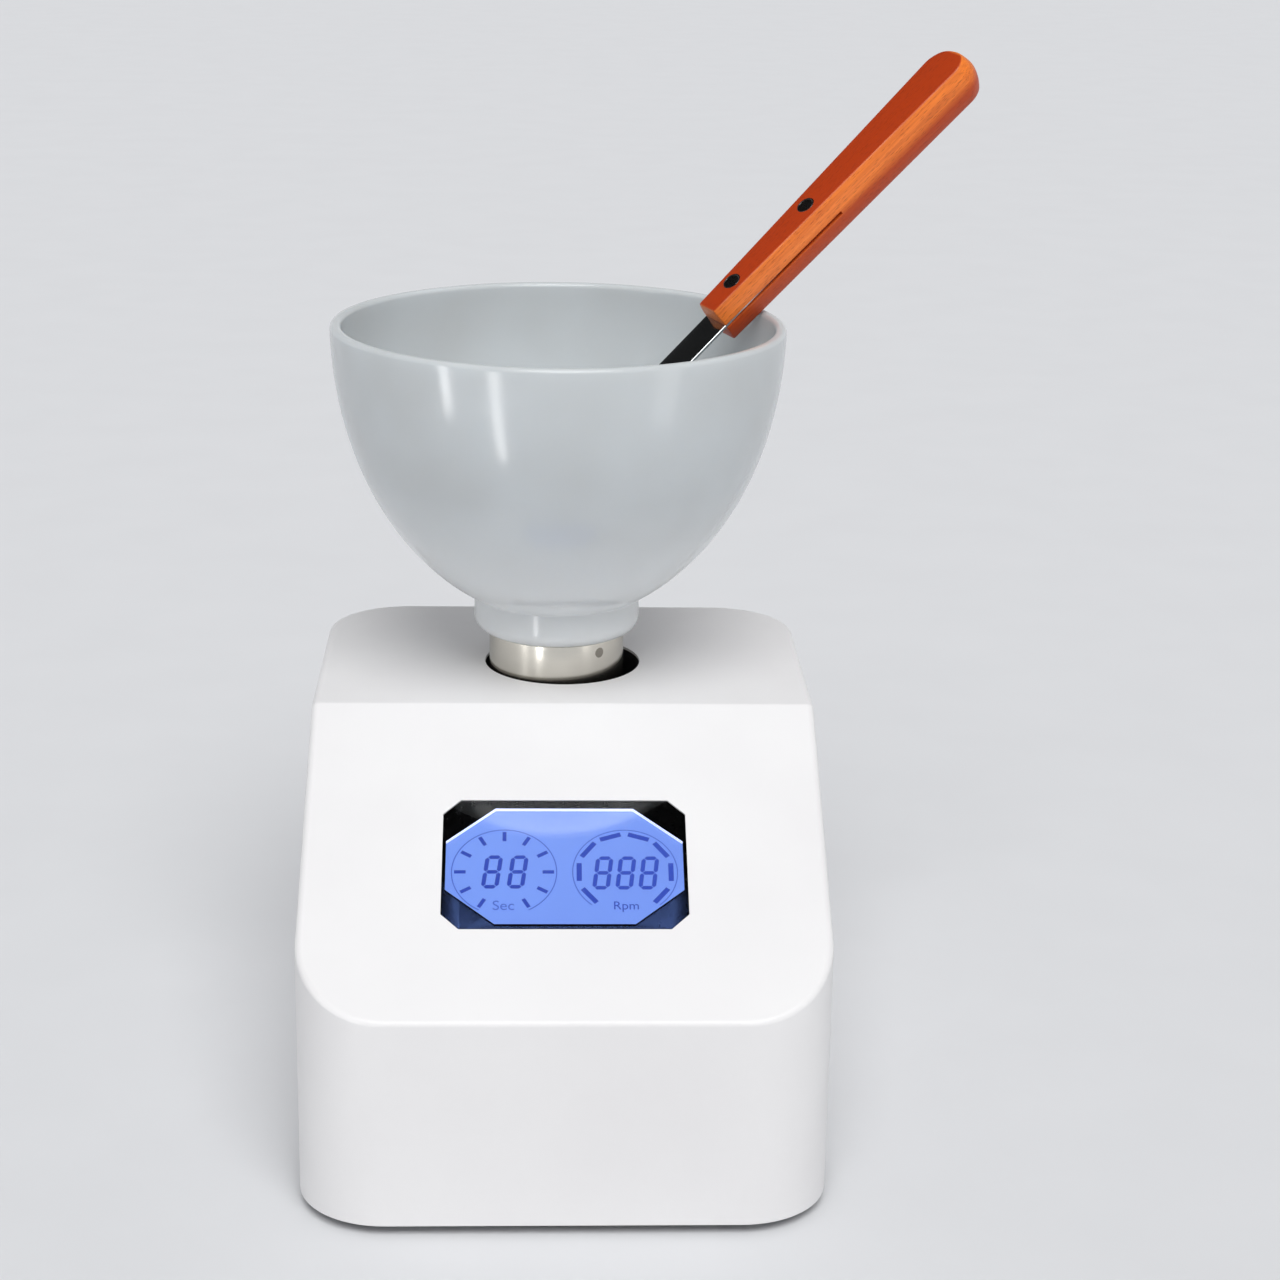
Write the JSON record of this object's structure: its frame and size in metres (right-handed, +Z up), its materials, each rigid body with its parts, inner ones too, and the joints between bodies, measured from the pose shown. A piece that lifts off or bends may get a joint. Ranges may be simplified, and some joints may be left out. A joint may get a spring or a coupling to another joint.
{
  "type": "dental impression mixer",
  "caption": "Bench mixer with a sloped display panel, a belt-driven steel holder, a lift-out silicone mixing bowl and a wood-handled spatula.",
  "frame": {"origin": "on the spindle's axis, in the plane that the rubber feet stand on", "axes": "+Z up along the spindle, +Y to the rear, +X to the right of someone who faces the display"},
  "size_m": [0.1947, 0.1966, 0.2912],
  "materials": {
    "white_abs": "satin",
    "black_plastic": "matte",
    "black_gloss_plastic": "gloss",
    "white_plastic": "matte",
    "clear_window": "gloss",
    "clear_glass": "gloss",
    "blue_lcd": "gloss",
    "circuit_board": "satin",
    "black_epoxy": "matte",
    "zinc_steel": "satin",
    "screw_steel": "satin",
    "ground_steel": "polished",
    "stainless_steel": "brushed",
    "polished_steel": "polished",
    "nickel_plate": "polished",
    "aluminium": "satin",
    "black_anodised_aluminium": "satin",
    "brass": "satin",
    "black_rubber": "matte",
    "belt_polyurethane": "satin",
    "grey_silicone": "gloss",
    "brown_wood": "satin",
    "capacitor_sleeve": "gloss",
    "ferrite": "matte",
    "polyester_tape": "satin"
  },
  "bodies": {
    "base": {"case_shell": "white_abs", "splash_collar": "black_plastic", "base_plate": "zinc_steel", "base_screws": "screw_steel", "rubber_feet": "black_rubber", "display_window": "clear_window", "display_bezel": "black_gloss_plastic", "lcd_cell": "blue_lcd", "lcd_backlight": "white_plastic", "display_board": "circuit_board", "display_board_screws": "screw_steel", "display_components": "black_epoxy", "chassis_plate": "zinc_steel", "chassis_posts": "zinc_steel", "chassis_screws": "screw_steel", "bearing_block": "aluminium", "bearing_block_screws": "screw_steel", "bearing_outer_rings": "ground_steel", "block_circlip": "screw_steel", "drive_belt": "belt_polyurethane", "motor_can": "zinc_steel", "motor_end_cap": "black_plastic", "motor_terminals": "brass", "motor_screws": "screw_steel", "mains_inlet": "black_plastic", "inlet_pins": "nickel_plate", "inlet_screws": "screw_steel", "inlet_nuts": "screw_steel", "power_switch_body": "black_plastic", "power_switch_terminals": "brass", "power_board": "circuit_board", "power_board_posts": "brass", "power_board_screws": "screw_steel", "transformer_coil": "polyester_tape", "transformer_core": "ferrite", "power_capacitors": "capacitor_sleeve", "heat_sink": "black_anodised_aluminium", "power_transistors": "black_epoxy", "mains_choke": "ferrite"},
    "spindle": {"spindle_shaft": "ground_steel", "bowl_holder": "stainless_steel", "drive_pins": "stainless_steel", "holder_screw": "screw_steel", "bearing_inner_rings": "ground_steel", "bearing_spacer": "aluminium", "shaft_circlip": "screw_steel", "spindle_pulley": "aluminium", "spindle_pulley_screw": "screw_steel"},
    "motor_rotor": {"motor_shaft": "ground_steel", "motor_pulley": "aluminium", "motor_pulley_screw": "screw_steel"},
    "bowl": {"mixing_bowl": "grey_silicone"},
    "spatula": {"spatula_blade": "polished_steel", "spatula_handle": "brown_wood", "spatula_rivets": "polished_steel"},
    "switch_rocker": {"power_switch_rocker": "black_gloss_plastic"},
    "fuse_drawer": {"fuse_drawer": "black_plastic", "fuse_glass": "clear_glass", "fuse_caps": "nickel_plate"}
  },
  "joints": [
    {"name": "spindle_spin", "type": "hinge", "parent": "base", "child": "spindle", "pos_m": [0, 0, 0.1], "axis": [0, 0, 1], "continuous": true},
    {"name": "motor_spin", "type": "hinge", "parent": "base", "child": "motor_rotor", "pos_m": [0.044, 0.028, 0.04], "axis": [0, 0, 1], "continuous": true},
    {"name": "bowl_lift", "type": "slide", "parent": "spindle", "child": "bowl", "axis": [0, 0, 1], "range_m": [0, 0.06]},
    {"name": "spatula_lift", "type": "slide", "parent": "bowl", "child": "spatula", "axis": [0.6874, 0.3003, 0.6613], "range_m": [0, 0.12]},
    {"name": "rocker_tilt", "type": "hinge", "parent": "base", "child": "switch_rocker", "pos_m": [-0.019, 0.0527, 0.072], "axis": [-1, 0, 0], "range_deg": [0, 24]},
    {"name": "fuse_drawer_slide", "type": "slide", "parent": "base", "child": "fuse_drawer", "axis": [0, 1, 0], "range_m": [0, 0.018]}
  ],
  "couplings": [
    {"joint": "motor_spin", "follows": "spindle_spin", "ratio": 2.6}
  ]
}
